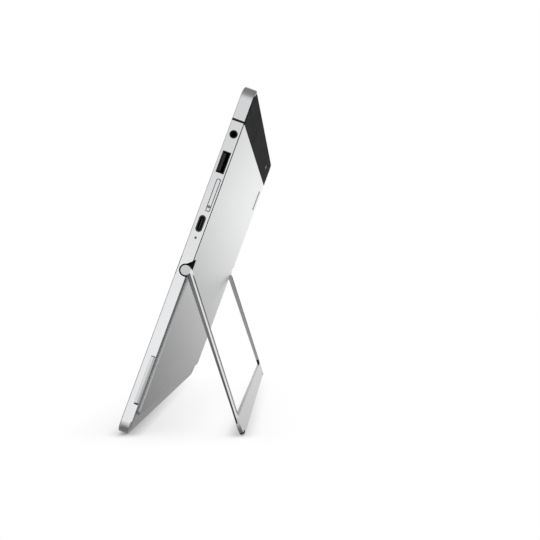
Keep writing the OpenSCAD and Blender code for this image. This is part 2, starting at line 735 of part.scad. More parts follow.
module kickstand_feet() color(black) stand() opened() both()
  slab(leg_front, leg_back) intersection() {
    rounded([-side + 0.07, pad_z], [side - 0.07, height], corner_r - 0.1);
    translate([137.05, 0]) square([width, 2.4]);
  }
module hinge_caps() color([0.84, 0.84, 0.85]) stand() opened() both()
  axle(side - 0.48, leg_side, hub_r - 0.4);

cover_glass();
glass_gasket();
display_panel();
display_support();
support_screws();
display_cable();
side_frame();
top_frame();
antenna_breaks();
back_plate();
radio_window();
rear_camera_window();
rear_camera();
front_camera();
microphones();
antennas();
antenna_cables();
speaker_left();
speaker_right();
speaker_meshes();
battery_cells();
battery_tray();
battery_board();
battery_cable();
main_board();
board_screws();
processor();
memory_chips();
board_chips();
heat_spreader();
solid_state_drive();
wifi_card();
modem_card();
card_sockets();
headset_jack();
usb_a_shell();
usb_a_tongue();
usb_c_shell();
usb_c_tongue();
sim_reader();
charge_light();
dock_connector();
dock_contacts();
dock_sockets();
dock_magnets();
button_board();
rocker_bracket();
rocker_pin();
hinge_barrels();
hinge_washers();
sim_tray();
sim_card();
power_button();
volume_rocker();
kickstand();
kickstand_feet();
hinge_shafts();
hinge_nuts();
hinge_caps();
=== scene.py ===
"""Looks of a detachable tablet computer on its kickstand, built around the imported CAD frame.

The width runs along X, the glass faces -Y and the tablet leans on its open stand. Shapes are
given in tablet axes, in mm: x to the right seen from the front, depth from the glass to the
back, height from the bottom edge to the top edge. Shaders work in mm along the same axes.
"""

import functools
import json
import math
from contextlib import contextmanager

import bmesh
import bpy
from mathutils import Matrix, Vector

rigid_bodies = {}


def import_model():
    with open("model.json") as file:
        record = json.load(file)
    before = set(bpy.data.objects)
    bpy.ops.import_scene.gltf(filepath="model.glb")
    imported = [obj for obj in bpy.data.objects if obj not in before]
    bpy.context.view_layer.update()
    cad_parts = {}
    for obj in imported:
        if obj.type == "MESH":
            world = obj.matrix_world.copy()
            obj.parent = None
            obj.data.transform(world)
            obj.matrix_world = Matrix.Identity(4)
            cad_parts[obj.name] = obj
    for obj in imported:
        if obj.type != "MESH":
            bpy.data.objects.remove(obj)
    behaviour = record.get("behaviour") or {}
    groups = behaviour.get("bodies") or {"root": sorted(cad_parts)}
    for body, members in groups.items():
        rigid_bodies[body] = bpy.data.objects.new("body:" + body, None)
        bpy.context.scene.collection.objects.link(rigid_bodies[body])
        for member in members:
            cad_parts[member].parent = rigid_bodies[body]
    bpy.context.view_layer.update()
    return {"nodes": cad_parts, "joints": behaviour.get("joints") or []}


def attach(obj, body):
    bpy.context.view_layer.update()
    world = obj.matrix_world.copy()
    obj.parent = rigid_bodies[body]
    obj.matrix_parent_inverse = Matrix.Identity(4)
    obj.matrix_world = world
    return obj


for old in list(bpy.data.objects):
    bpy.data.objects.remove(old, do_unlink=True)

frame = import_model()
NODES = frame["nodes"]
JOINTS = {joint["name"]: joint for joint in frame["joints"]}
MM = 0.001

# ------------------------------------------------------------------ tablet axes
# The power button's travel points down the tablet, so it gives the lean.
UP = -Vector(JOINTS["power_button_press"]["axis"]).normalized()
ACROSS = Vector((1.0, 0.0, 0.0))
BACK = UP.cross(ACROSS).normalized()
if BACK.y < 0:                                   # whatever the axis' sign, away from the glass
    BACK = -BACK


def raw_points(name):
    """A node's vertices along the tablet axes, in mm, before the origin shift."""
    return [(v.co.x / MM, v.co.dot(BACK) / MM, v.co.dot(UP) / MM)
            for v in NODES[name].data.vertices]


def raw_box(name):
    """Low and high corners of raw_points."""
    columns = list(zip(*raw_points(name)))
    return [min(c) for c in columns], [max(c) for c in columns]


_, FRONT, BOTTOM = raw_box("side_frame")[0]      # glass face and bottom edge: the origin


def box(name):
    """Low and high corners of a node in tablet axes."""
    return [Vector((x, depth - FRONT, height - BOTTOM)) for x, depth, height in raw_box(name)]


def middle_height(name):
    low, high = box(name)
    return (low.z + high.z) / 2


def at(x, depth, height):
    """Tablet axes in mm to the world in metres."""
    return (ACROSS * x + BACK * (depth + FRONT) + UP * (height + BOTTOM)) * MM


HALF_WIDTH = box("side_frame")[1].x
THICKNESS = box("back_plate")[1].y

# Kickstand, as it stands open
PIVOT = at(0, 5.1, 101.8)
OPEN = math.radians(-JOINTS["kickstand_hinge"]["range_deg"][0])
ARM = BACK * math.sin(OPEN) - UP * math.cos(OPEN)           # hub -> foot
ARM_BACK = BACK * math.cos(OPEN) + UP * math.sin(OPEN)      # out of the arm's back face

# Lit area of the display: its half width, low edge and high edge
PANEL_LOW, PANEL_HIGH = box("display_panel")
PANEL_RIM = 3.0
LIT_HALF = (PANEL_HIGH.x - PANEL_LOW.x) / 2 - PANEL_RIM
LIT_LOW = PANEL_LOW.z + PANEL_RIM
LIT_HIGH = LIT_LOW + 169.1


# ------------------------------------------------------------------ node helpers
class Nodes:
    """Short cuts for building a node tree; most methods return an output socket."""

    def __init__(self, owner):
        owner.use_nodes = True
        self.tree = owner.node_tree

    def node(self, kind, **settings):
        node = self.tree.nodes.new(kind)
        for key, value in settings.items():
            setattr(node, key, value)
        return node

    def put(self, socket, value):
        """Links a socket, or sets a number, vector or colour."""
        if isinstance(value, bpy.types.NodeSocket):
            self.tree.links.new(value, socket)
        elif isinstance(value, tuple) and len(value) == 3 and socket.type == "RGBA":
            socket.default_value = (*value, 1.0)
        else:
            socket.default_value = value

    def math(self, operation, first, second=0.0, clamp=False):
        node = self.node("ShaderNodeMath", operation=operation, use_clamp=clamp)
        self.put(node.inputs[0], first)
        self.put(node.inputs[1], second)
        return node.outputs[0]

    def add(self, first, second, clamp=False):
        return self.math("ADD", first, second, clamp)

    def sub(self, first, second):
        return self.math("SUBTRACT", first, second)

    def mul(self, first, second):
        return self.math("MULTIPLY", first, second)

    def span(self, value, source, to=(0.0, 1.0)):
        """Maps the source range onto the target range, clamped."""
        node = self.node("ShaderNodeMapRange", clamp=True)
        for socket, item in zip(node.inputs, (value, *source, *to)):
            self.put(socket, item)
        return node.outputs[0]

    def ramp(self, value, stops):
        """Colour ramp; stops are (position, colour)."""
        node = self.node("ShaderNodeValToRGB")
        self.put(node.inputs[0], value)
        elements = node.color_ramp.elements
        while len(elements) < len(stops):
            elements.new(0.5)
        for element, (position, colour) in zip(elements, stops):
            element.position = position
            element.color = (*colour, 1.0)
        return node.outputs[0]

    def mix(self, factor, first, second):
        node = self.node("ShaderNodeMix", data_type="RGBA")
        self.put(node.inputs["Factor"], factor)
        self.put(node.inputs[6], first)
        self.put(node.inputs[7], second)
        return node.outputs[2]

    def geometry(self, output):
        return self.node("ShaderNodeNewGeometry").outputs[output]

    def separate(self, vector):
        """The X, Y and Z sockets of a vector."""
        node = self.node("ShaderNodeSeparateXYZ")
        self.put(node.inputs[0], vector)
        return node.outputs


SHADER_INPUTS = {
    "colour": "Base Color", "rough": "Roughness", "metal": "Metallic", "normal": "Normal",
    "spec": "Specular IOR Level", "coat": "Coat Weight", "coat_rough": "Coat Roughness",
    "emit": "Emission Color", "glow": "Emission Strength", "subsurface": "Subsurface Weight",
    "sheen": "Sheen Weight",
}


def shade(colour, factor):
    return tuple(min(1.0, channel * factor) for channel in colour)


class Mat(Nodes):
    """A principled material with textures and masks placed in tablet axes."""

    def __init__(self, name):
        self.material = bpy.data.materials.new(name)
        super().__init__(self.material)
        self.shader = self.tree.nodes["Principled BSDF"]
        self.position = self.node("ShaderNodeTexCoord").outputs["Object"]

    def set(self, **values):
        for key, value in values.items():
            self.put(self.shader.inputs[SHADER_INPUTS[key]], value)
        return self.material

    # Coordinates
    def dot(self, first, second):
        node = self.node("ShaderNodeVectorMath", operation="DOT_PRODUCT")
        self.put(node.inputs[0], first)
        self.put(node.inputs[1], second)
        return node.outputs["Value"]

    def along(self, axis, offset=0.0):
        """Distance along an axis, in mm."""
        return self.sub(self.dot(self.position, tuple(Vector(axis) / MM)), offset)

    def local(self, axis, origin):
        """Distance along an axis from a point given in metres, in mm."""
        axis = Vector(axis).normalized()
        return self.along(axis, origin.dot(axis) / MM)

    def depth(self):
        return self.along(BACK, FRONT)

    def height(self):
        return self.along(UP, BOTTOM)

    def off_centre(self):
        """Distance from the tablet's centre line, to either side."""
        return self.math("ABSOLUTE", self.along(ACROSS))

    def hypot(self, first, second):
        return self.math("SQRT", self.add(self.mul(first, first), self.mul(second, second)))

    def combine(self, *values):
        node = self.node("ShaderNodeCombineXYZ")
        for socket, value in zip(node.inputs, values):
            self.put(socket, value)
        return node.outputs[0]

    def stretch(self, *factors):
        """Coordinates in mm, scaled across, back and up."""
        return self.combine(*(self.mul(self.along(axis), factor)
                              for axis, factor in zip((ACROSS, BACK, UP), factors)))

    # Textures
    def texture(self, node, vector, **inputs):
        self.put(node.inputs["Vector"], self.position if vector is None else vector)
        for key, value in inputs.items():
            node.inputs[key].default_value = value
        return node

    def noise(self, scale, detail=3.0, rough=0.55, vector=None, warp=0.0):
        node = self.node("ShaderNodeTexNoise")
        return self.texture(node, vector, Scale=scale, Detail=detail, Roughness=rough,
                            Distortion=warp).outputs["Fac"]

    def voronoi(self, scale, feature, vector=None, randomness=1.0):
        node = self.node("ShaderNodeTexVoronoi", feature=feature)
        return self.texture(node, vector, Scale=scale, Randomness=randomness).outputs["Distance"]

    def wave(self, scale, vector, direction="X", warp=0.0, detail=2.0):
        node = self.node("ShaderNodeTexWave", bands_direction=direction)
        return self.texture(node, vector, Scale=scale, Distortion=warp,
                            Detail=detail).outputs["Fac"]

    # Colour
    def mottle(self, value, source, colour, dark, light):
        """Varies a colour between two factors as the value crosses the source range."""
        return self.mix(self.span(value, source), shade(colour, dark), shade(colour, light))

    def scaled(self, colour, factor):
        node = self.node("ShaderNodeVectorMath", operation="SCALE")
        self.put(node.inputs[0], colour)
        self.put(node.inputs["Scale"], factor)
        return node.outputs[0]

    # Surface
    def bump(self, relief, strength, distance, normal=None):
        """Bump normal; the distance is in mm."""
        node = self.node("ShaderNodeBump")
        node.inputs["Strength"].default_value = strength
        node.inputs["Distance"].default_value = distance * MM
        self.put(node.inputs["Height"], relief)
        if normal is not None:
            self.put(node.inputs["Normal"], normal)
        return node.outputs[0]

    def rounded(self, radius):
        """Normal that rounds sharp edges over a radius in mm."""
        node = self.node("ShaderNodeBevel", samples=6)
        node.inputs["Radius"].default_value = radius * MM
        return node.outputs[0]

    def edge(self, radius):
        """About 1 at sharp edges and 0 on flats."""
        bend = self.dot(self.rounded(radius), self.geometry("Normal"))
        return self.span(bend, (0.995, 0.80))

    def facing(self):
        """Cosine between the surface and the eye."""
        node = self.node("ShaderNodeNewGeometry")
        return self.dot(node.outputs["Normal"], node.outputs["Incoming"])

    # Masks
    def gate(self, value, low=None, high=None, soft=0.06):
        """1 between low and high, 0 outside, with soft limits."""
        masks = []
        if low is not None:
            masks.append(self.span(value, (low - soft / 2, low + soft / 2)))
        if high is not None:
            masks.append(self.span(value, (high - soft / 2, high + soft / 2), to=(1.0, 0.0)))
        return self.all_of(*masks)

    def all_of(self, *masks):
        return functools.reduce(self.mul, masks)

    def any_of(self, *masks):
        return functools.reduce(functools.partial(self.math, "MAXIMUM"), masks)


# ------------------------------------------------------------------ kinds of material
def blasted(name, colour, rough, metal, grain, wear, painted_light=None, dark=None, vary=1.0):
    """Bead blasted, anodised metal: fine grain, faint handling marks, brighter edges.

    painted_light(mat) gives a factor on the colour that paints light and shade into it; dark(mat)
    gives areas painted black and matt, mostly as painted shade.
    """
    mat = Mat(name)
    fine = mat.noise(scale=5200, detail=2.0, rough=0.6)
    middle = mat.noise(scale=420, detail=3.0, rough=0.6)
    broad = mat.noise(scale=16, detail=4.0, rough=0.6, warp=0.4)
    skin = mat.mottle(fine, (0.35, 0.65), colour, dark=0.965, light=1.03)
    marks = mat.span(broad, (0.40, 0.66), to=(0.0, 0.30 * vary))
    skin = mat.mix(marks, skin, shade(colour, 0.955))
    edge = mat.edge(radius=0.22)
    skin = mat.mix(mat.mul(edge, wear), skin, shade(colour, 1.10))
    swing = 0.035 * vary
    gloss = mat.add(mat.span(middle, (0.3, 0.7), to=(rough - swing, rough + swing)),
                    mat.span(broad, (0.4, 0.7), to=(0.0, 0.05 * vary)))
    gloss = mat.sub(gloss, mat.mul(edge, 0.07))
    normal = mat.bump(fine, strength=grain, distance=0.02, normal=mat.rounded(radius=0.10))
    # Painted light and shade: the colour is scaled by a factor that stands in for light falling on
    # it.
    if painted_light:
        skin = mat.scaled(skin, painted_light(mat))
    spec = 0.5
    # Painted shade: these areas are painted near black, mostly where shade falls in hollows and
    # channels.
    if dark:
        mask = dark(mat)
        black = mat.mix(fine, (0.010, 0.010, 0.011), (0.018, 0.018, 0.019))
        skin = mat.mix(mask, skin, black)
        gloss = mat.add(gloss, mat.mul(mask, 0.4), clamp=True)
        metal = mat.mul(mat.sub(1.0, mask), metal)
        spec = mat.span(mask, (0.0, 1.0), to=(0.5, 0.06))
    return mat.set(colour=skin, rough=gloss, metal=metal, normal=normal, spec=spec)


def brushed(name, colour, rough=0.30, grain=(0.15, 9.0, 9.0)):
    """Brushed metal; grain scales the lines across, back and up."""
    mat = Mat(name)
    line = mat.noise(scale=1.0, detail=3.0, rough=0.65, vector=mat.stretch(*grain))
    spot = mat.noise(scale=300, detail=2.0)
    skin = mat.mottle(line, (0.35, 0.65), colour, dark=0.86, light=1.08)
    skin = mat.mix(mat.span(spot, (0.62, 0.75), to=(0.0, 0.35)), skin, shade(colour, 0.7))
    skin = mat.mix(mat.mul(mat.edge(radius=0.12), 0.4), skin, shade(colour, 1.2))
    return mat.set(
        colour=skin, rough=mat.span(line, (0.3, 0.7), to=(rough - 0.06, rough + 0.09)),
        metal=1.0,
        normal=mat.bump(line, strength=0.18, distance=0.02, normal=mat.rounded(radius=0.06)))


def plastic(name, colour, rough, spec, grain, scale, speck=0.0):
    """Moulded plastic with an etched texture."""
    mat = Mat(name)
    etching = mat.voronoi(scale=scale, feature="SMOOTH_F1")
    broad = mat.noise(scale=24, detail=3.0)
    skin = mat.mottle(broad, (0.35, 0.7), colour, dark=0.88, light=1.15)
    if speck:
        specks = mat.span(mat.noise(scale=3800, detail=1.0), (0.66, 0.74), to=(0.0, speck))
        skin = mat.mix(specks, skin, shade(colour, 2.2))
    skin = mat.mix(mat.mul(mat.edge(radius=0.15), 0.5), skin, shade(colour, 1.8))
    gloss = mat.span(mat.noise(scale=150, detail=3.0), (0.3, 0.7), to=(rough - 0.05, rough + 0.06))
    return mat.set(
        colour=skin, rough=gloss, spec=spec,
        normal=mat.bump(etching, strength=grain, distance=0.015, normal=mat.rounded(radius=0.08)))


def rubber(name, colour, rough):
    """Dusty matt rubber."""
    mat = Mat(name)
    grain = mat.noise(scale=3000, detail=4.0, rough=0.7)
    dust = mat.noise(scale=60, detail=4.0, rough=0.65)
    skin = mat.mottle(grain, (0.4, 0.62), colour, dark=0.75, light=1.25)
    skin = mat.mix(mat.span(dust, (0.55, 0.75), to=(0.0, 0.30)), skin, (0.16, 0.16, 0.165))
    return mat.set(colour=skin, rough=rough, spec=0.22, sheen=0.05,
                   normal=mat.bump(grain, strength=0.4, distance=0.03))


def board(name, colour):
    """Solder resist over copper tracks, with gold pads."""
    mat = Mat(name)
    plane = mat.stretch(0.9, 0.0, 0.9)
    cells = mat.voronoi(scale=0.55, feature="DISTANCE_TO_EDGE", vector=plane, randomness=0.45)
    wide = mat.span(cells, (0.045, 0.085), to=(1.0, 0.0))
    wave = mat.wave(scale=0.9, vector=plane, direction="DIAGONAL", warp=1.6, detail=0.0)
    thin = mat.span(wave, (0.62, 0.70), to=(0.0, 0.55))
    skin = mat.mix(mat.noise(scale=40, detail=2.0), shade(colour, 0.8), shade(colour, 1.2))
    skin = mat.mix(mat.any_of(wide, thin), skin, shade(colour, 1.9))
    dots = mat.voronoi(scale=1.15, feature="F1", vector=plane)
    pads = mat.span(dots, (0.10, 0.13), to=(1.0, 0.0))
    skin = mat.mix(pads, skin, (0.75, 0.55, 0.22))
    relief = mat.add(mat.any_of(wide, thin), pads)
    return mat.set(colour=skin, rough=mat.span(pads, (0.0, 1.0), to=(0.33, 0.25)), metal=pads,
                   spec=0.5, coat=0.25, normal=mat.bump(relief, strength=0.35, distance=0.03))


def chip(name, colour):
    """Moulded epoxy with long scuffs."""
    mat = Mat(name)
    grain = mat.noise(scale=2500, detail=3.0, rough=0.7)
    skin = mat.mottle(grain, (0.4, 0.6), colour, dark=0.8, light=1.3)
    scuff = mat.noise(scale=1.0, detail=2.0, rough=0.6, vector=mat.stretch(0.7, 3.0, 3.0))
    skin = mat.mix(mat.span(scuff, (0.6, 0.72), to=(0.0, 0.35)), skin, shade(colour, 2.0))
    return mat.set(
        colour=skin, rough=mat.span(grain, (0.3, 0.7), to=(0.42, 0.58)), spec=0.35,
        normal=mat.bump(grain, strength=0.3, distance=0.02, normal=mat.rounded(radius=0.1)))


def film(name, colour, wrinkle, lines=None):
    """Thin wrapped film; lines is the scale of its printed tracks, if it has any."""
    mat = Mat(name)
    folds = mat.noise(scale=1.0, detail=4.0, rough=0.6, vector=mat.stretch(0.22, 0.22, 0.10),
                      warp=1.2)
    skin = mat.mottle(folds, (0.35, 0.65), colour, dark=0.85, light=1.18)
    relief = folds
    if lines:
        wave = mat.wave(scale=lines, vector=mat.stretch(1, 1, 1))
        tracks = mat.span(wave, (0.55, 0.7))
        skin = mat.mix(tracks, skin, shade(colour, 1.7))
        relief = mat.add(folds, mat.mul(tracks, 0.3))
    return mat.set(colour=skin, rough=mat.span(folds, (0.3, 0.7), to=(0.28, 0.42)), spec=0.5,
                   coat=0.2, normal=mat.bump(relief, strength=wrinkle, distance=0.2))


def coated_lens(name):
    """Near-black glass whose coating turns blue, violet and green at flatter angles."""
    mat = Mat(name)
    weight = mat.node("ShaderNodeLayerWeight")
    weight.inputs["Blend"].default_value = 0.35
    tint = mat.ramp(weight.outputs["Facing"], [
        (0.0, (0.004, 0.004, 0.006)), (0.45, (0.010, 0.012, 0.035)),
        (0.8, (0.05, 0.02, 0.06)), (1.0, (0.02, 0.05, 0.04))])
    dust = mat.noise(scale=900, detail=2.0)
    return mat.set(
        colour=tint, rough=mat.span(dust, (0.6, 0.8), to=(0.03, 0.12)), spec=0.6, coat=1.0,
        coat_rough=0.02,
        normal=mat.bump(mat.noise(scale=14, detail=2.0), strength=0.01, distance=0.1))


def smoked_pipe(name):
    """Smoked light pipe, not lit."""
    mat = Mat(name)
    haze = mat.noise(scale=900, detail=3.0)
    return mat.set(
        colour=mat.mix(haze, (0.10, 0.10, 0.105), (0.16, 0.16, 0.165)),
        rough=mat.span(haze, (0.3, 0.7), to=(0.3, 0.45)), subsurface=0.2, spec=0.3,
        normal=mat.bump(haze, strength=0.1, distance=0.02))


# ------------------------------------------------------------------ masks and painted light and shade of the shells
RECESS_HEIGHT = {"low": 2.6, "high": 105.0, "soft": 0.4}    # kickstand recess
PORT_DEPTH, PORT_HEIGHT, PORT_STRAIGHT = 4.0, 130.0, 3.05   # small port: centre, half straight
LIGHT_DEPTH, LIGHT_HEIGHT = 4.1, 121.3                      # round mark below it
RIGHT_SIDE = {"low": 146.0}                                 # x of the right side face


def pocket(mat):
    """Painted shade: the hub pocket and the notch above it are painted black inside, standing in
    for the deep shade there.
    """
    return mat.all_of(mat.gate(mat.off_centre(), low=142.8, high=149.93, soft=0.05),
                      mat.gate(mat.local(UP, PIVOT), low=-3.9, high=7.3, soft=0.1))


def pocket_port_shade_and_mark(mat):
    """Painted black: the pocket's painted shade, plus the small port's rounded rim, painted dark
    for the shade on its rounding, and a round mark on the right side.
    """
    depth, height, x = mat.depth(), mat.height(), mat.along(ACROSS)
    from_port = mat.math("ABSOLUTE", mat.sub(height, PORT_HEIGHT))
    beyond = mat.any_of(mat.sub(from_port, PORT_STRAIGHT), 0.0)
    radius = mat.hypot(beyond, mat.sub(depth, PORT_DEPTH))
    # Painted shade: a dark ring on the port's rounded rim.
    rim = mat.all_of(mat.span(radius, (1.85, 2.15), to=(1.0, 0.0)), mat.gate(x, **RIGHT_SIDE))
    radius = mat.hypot(mat.sub(depth, LIGHT_DEPTH), mat.sub(height, LIGHT_HEIGHT))
    mark = mat.all_of(mat.span(radius, (0.62, 0.80), to=(0.85, 0.0)), mat.gate(x, **RIGHT_SIDE))
    return mat.any_of(pocket(mat), rim, mark)


def back_painted_sheen_and_shade(mat):
    """Painted sheen and shade: the colour brightens at the flattest angles as a painted
    reflection, and the recess's side walls are darkened as painted shade.
    """
    facing = mat.facing()
    # Painted reflection: brighter colour at grazing angles.
    sheen = mat.add(mat.span(facing, (0.075, 0.125), to=(1.12, 0.80)),
                    mat.span(facing, (0.16, 0.42), to=(0.0, 0.20)))
    # Painted shade on the recess's side walls.
    wall_shade = mat.all_of(mat.gate(mat.off_centre(), low=143.05, high=149.0, soft=0.05),
                      mat.gate(mat.height(), **RECESS_HEIGHT))
    return mat.mul(sheen, mat.sub(1.0, mat.mul(wall_shade, 0.38)))


def frame_painted_shade(mat):
    """Painted shade: the front bevel is darkened as a painted dark reflection and the ledge of the
    kickstand recess as painted shade, both darker than the sides.
    """
    depth, height, off = mat.depth(), mat.height(), mat.off_centre()
    # Painted dark reflection on the front bevel.
    bevel = mat.mul(mat.gate(depth, high=0.44, soft=0.03), 0.30)
    # Painted shade on the recess ledge.
    ledge = mat.all_of(mat.gate(depth, low=1.0, soft=0.05), mat.gate(height, **RECESS_HEIGHT),
                       mat.gate(off, low=138.0, high=149.45, soft=0.05))
    return mat.sub(mat.sub(1.0, bevel), mat.mul(ledge, 0.35))


def stand_painted_shade(mat):
    """Painted shade: darker inner strips on the arms, a dark lip near the foot and a dimmer bar
    past it.
    """
    down, off = mat.local(ARM, PIVOT), mat.off_centre()
    # Painted shade on the arms' inner strips, the lip and the bar.
    inner = mat.all_of(mat.gate(down, low=2.6, high=90.4, soft=0.6),
                       mat.gate(off, low=142.0, high=143.75, soft=0.04))
    lip = mat.all_of(mat.gate(down, low=88.0, high=90.2, soft=0.1), mat.gate(off, high=143.5))
    painted_light = mat.sub(1.0, mat.mul(lip, 0.5))
    painted_light = mat.mul(painted_light, mat.span(down, (89.0, 90.6), to=(1.0, 0.68)))
    return mat.mul(painted_light, mat.sub(1.0, mat.mul(inner, 0.58)))


def stand_shade_and_corners(mat):
    """Painted black: the channel under the outer flange and the back of the arms as painted shade,
    and the arms' lower inner corners.
    """
    down, out, off = mat.local(ARM, PIVOT), mat.local(ARM_BACK, PIVOT), mat.off_centre()
    # Painted shade in the channel under the flange.
    channel = mat.all_of(mat.gate(down, low=3.2, high=93.0, soft=0.3),
                         mat.gate(out, high=1.86, soft=0.05),
                         mat.gate(off, low=145.4, soft=0.05))
    channel = mat.mul(channel, mat.span(down, (5.0, 92.0), to=(0.30, 0.92)))
    # Painted shade on the back of the arms.
    rear = mat.all_of(mat.gate(down, low=4.0, high=89.0, soft=1.5),
                      mat.gate(out, low=2.88, soft=0.04),
                      mat.gate(off, low=143.0, high=149.9))
    rear = mat.mul(rear, mat.span(down, (10.0, 88.0), to=(0.90, 0.58)))
    corner = mat.all_of(mat.gate(down, low=86.4, high=90.7, soft=0.2),
                        mat.gate(out, high=2.9, soft=0.05),
                        mat.gate(off, low=141.0, high=143.75, soft=0.05))
    return mat.any_of(channel, corner, rear)


# ------------------------------------------------------------------ display
LIT_FADE = 0.12                                  # soft edge of the lit area


def picture(mat):
    """A made-up still picture: blue ribbons of light, brighter to the lower right."""
    x = mat.span(mat.along(ACROSS), (-LIT_HALF, LIT_HALF))
    y = mat.span(mat.height(), (LIT_LOW, LIT_HIGH))
    place = mat.combine(mat.mul(x, 1.1), mat.mul(y, 2.2))
    warp = mat.noise(scale=1.5, detail=2.0, rough=0.5, vector=place, warp=0.6)
    slope = mat.add(mat.mul(x, 0.55), mat.mul(y, -0.80))
    flow = mat.add(slope, mat.mul(warp, 1.3))
    ribbon = mat.math("POWER", mat.wave(scale=0.85, vector=mat.combine(flow)), 2.6)
    base = mat.ramp(mat.add(mat.mul(flow, 0.55), 0.05), [
        (0.0, (0.006, 0.030, 0.125)), (0.35, (0.010, 0.080, 0.30)),
        (0.65, (0.030, 0.22, 0.62)), (1.0, (0.16, 0.52, 0.86))])
    colour = mat.mix(mat.mul(ribbon, 0.62), base, (0.42, 0.78, 0.95))
    glow = mat.mul(mat.span(y, (0.05, 0.8), to=(1.0, 0.0)),
                   mat.span(x, (0.3, 1.0), to=(0.0, 0.7)))
    return mat.mix(mat.mul(glow, 0.55), colour, (0.30, 0.66, 0.93))


def lit_area(mat, grow=0.0):
    """1 inside the lit area, grown by some mm, and 0 outside."""
    off, height = mat.off_centre(), mat.height()
    half, low, high = LIT_HALF + grow, LIT_LOW - grow, LIT_HIGH + grow
    sides = mat.span(off, (half, half + LIT_FADE), to=(1.0, 0.0))
    bottom = mat.span(height, (low - LIT_FADE, low))
    top = mat.span(height, (high, high + LIT_FADE), to=(1.0, 0.0))
    return mat.mul(sides, mat.mul(bottom, top))


def cover(name):
    """Cover glass: ink behind the edge, the lit panel behind the middle, a strip between."""
    mat = Mat(name)
    lit = lit_area(mat)
    near = lit_area(mat, grow=1.4)
    ink = mat.mix(mat.noise(scale=90, detail=3.0), (0.0035, 0.0035, 0.004),
                  (0.0055, 0.0055, 0.006))
    ink = mat.mix(near, ink, (0.010, 0.010, 0.011))
    smears = mat.noise(scale=9, detail=4.0, rough=0.7, warp=0.8)
    return mat.set(
        colour=mat.mix(lit, ink, (0.004, 0.005, 0.008)),
        rough=mat.span(smears, (0.45, 0.75), to=(0.035, 0.11)),
        spec=0.5, coat=0.6, coat_rough=0.03,
        emit=mat.mix(lit, (0.0, 0.0, 0.0), picture(mat)), glow=mat.mul(lit, 0.92),
        normal=mat.bump(mat.noise(scale=35, detail=2.0), strength=0.012, distance=0.1,
                        normal=mat.rounded(radius=0.12)))


def panel(name):
    """The display itself, finely ribbed and lit inside its rim."""
    mat = Mat(name)
    ribs = mat.wave(scale=2.2, vector=mat.stretch(1, 1, 1))
    lit = lit_area(mat)
    body = mat.mix(mat.noise(scale=60, detail=3.0), (0.02, 0.02, 0.022), (0.05, 0.05, 0.055))
    return mat.set(
        colour=mat.mix(lit, body, (0.01, 0.012, 0.02)),
        rough=mat.span(ribs, (0.0, 1.0), to=(0.22, 0.35)),
        emit=mat.mix(lit, (0.0, 0.0, 0.0), picture(mat)), glow=mat.mul(lit, 0.9),
        normal=mat.bump(ribs, strength=0.05, distance=0.02))


# ------------------------------------------------------------------ materials
# The three shell finishes get painted light and shade from the masks above.
frame_alu = blasted("frame_aluminium", (0.80, 0.805, 0.815), rough=0.27, metal=0.88, grain=0.012,
                    wear=0.05, painted_light=frame_painted_shade, dark=pocket_port_shade_and_mark, vary=0.3)
back_alu = blasted("back_aluminium", (0.79, 0.795, 0.805), rough=0.28, metal=0.92, grain=0.006,
                   wear=0.1, painted_light=back_painted_sheen_and_shade, dark=pocket, vary=0.12)
stand_alu = blasted("stand_aluminium", (0.78, 0.785, 0.795), rough=0.30, metal=0.88, grain=0.004,
                    wear=0.10, painted_light=stand_painted_shade, dark=stand_shade_and_corners, vary=0.15)
cap_alu = blasted("cap_aluminium", (0.60, 0.605, 0.615), rough=0.30, metal=0.88, grain=0.05,
                  wear=0.2)
port_steel = brushed("port_steel", (0.085, 0.085, 0.09), rough=0.42, grain=(0.4, 3.0, 3.0))
contact_metal = brushed("contact_metal", (0.20, 0.165, 0.10), rough=0.36, grain=(0.4, 4.0, 4.0))
key_alu = blasted("key_aluminium", (0.77, 0.775, 0.785), rough=0.30, metal=0.92, grain=0.05,
                  wear=0.7)
magnesium = blasted("magnesium", (0.33, 0.34, 0.35), rough=0.55, metal=0.4, grain=0.3, wear=0.4)
steel = brushed("steel", (0.62, 0.63, 0.65))
hinge_steel = brushed("hinge_steel", (0.42, 0.42, 0.44), rough=0.36, grain=(5.0, 0.4, 0.4))
gold = brushed("gold_contact", (0.90, 0.70, 0.34), rough=0.20, grain=(0.4, 4.0, 4.0))
brass = brushed("nut_brass", (0.80, 0.62, 0.34), rough=0.28, grain=(6.0, 0.5, 0.5))
copper = brushed("copper", (0.86, 0.50, 0.34), rough=0.30, grain=(0.10, 3.0, 3.0))
window_plastic = plastic("radio_plastic", (0.020, 0.0205, 0.0215), rough=0.72, spec=0.022,
                         grain=0.16, scale=3000)
break_plastic = plastic("antenna_plastic", (0.016, 0.016, 0.017), rough=0.6, spec=0.08,
                        grain=0.15, scale=3000)
rocker_alu = blasted("rocker_aluminium", (0.30, 0.305, 0.315), rough=0.40, metal=0.8, grain=0.08,
                     wear=0.6)
black_plastic = plastic("black_plastic", (0.014, 0.014, 0.015), rough=0.42, spec=0.35,
                        grain=0.2, scale=2400, speck=0.10)
gasket_rubber = rubber("gasket_rubber", (0.045, 0.045, 0.048), rough=0.7)
foot_rubber = rubber("foot_rubber", (0.020, 0.020, 0.021), rough=0.82)
speaker_cloth = plastic("speaker_cloth", (0.012, 0.012, 0.013), rough=0.7, spec=0.2, grain=0.6,
                        scale=5200)
main_board = board("solder_resist", (0.010, 0.060, 0.032))
drive_board = board("drive_resist", (0.008, 0.030, 0.075))
chip_epoxy = chip("chip_epoxy", (0.022, 0.022, 0.025))
processor_epoxy = chip("processor_epoxy", (0.030, 0.034, 0.040))
flex_film = film("flex_film", (0.48, 0.25, 0.06), wrinkle=0.15, lines=1.3)
cell_wrap = film("cell_wrap", (0.050, 0.050, 0.054), wrinkle=0.5)
red_film = film("red_insulation", (0.42, 0.02, 0.015), wrinkle=0.12)
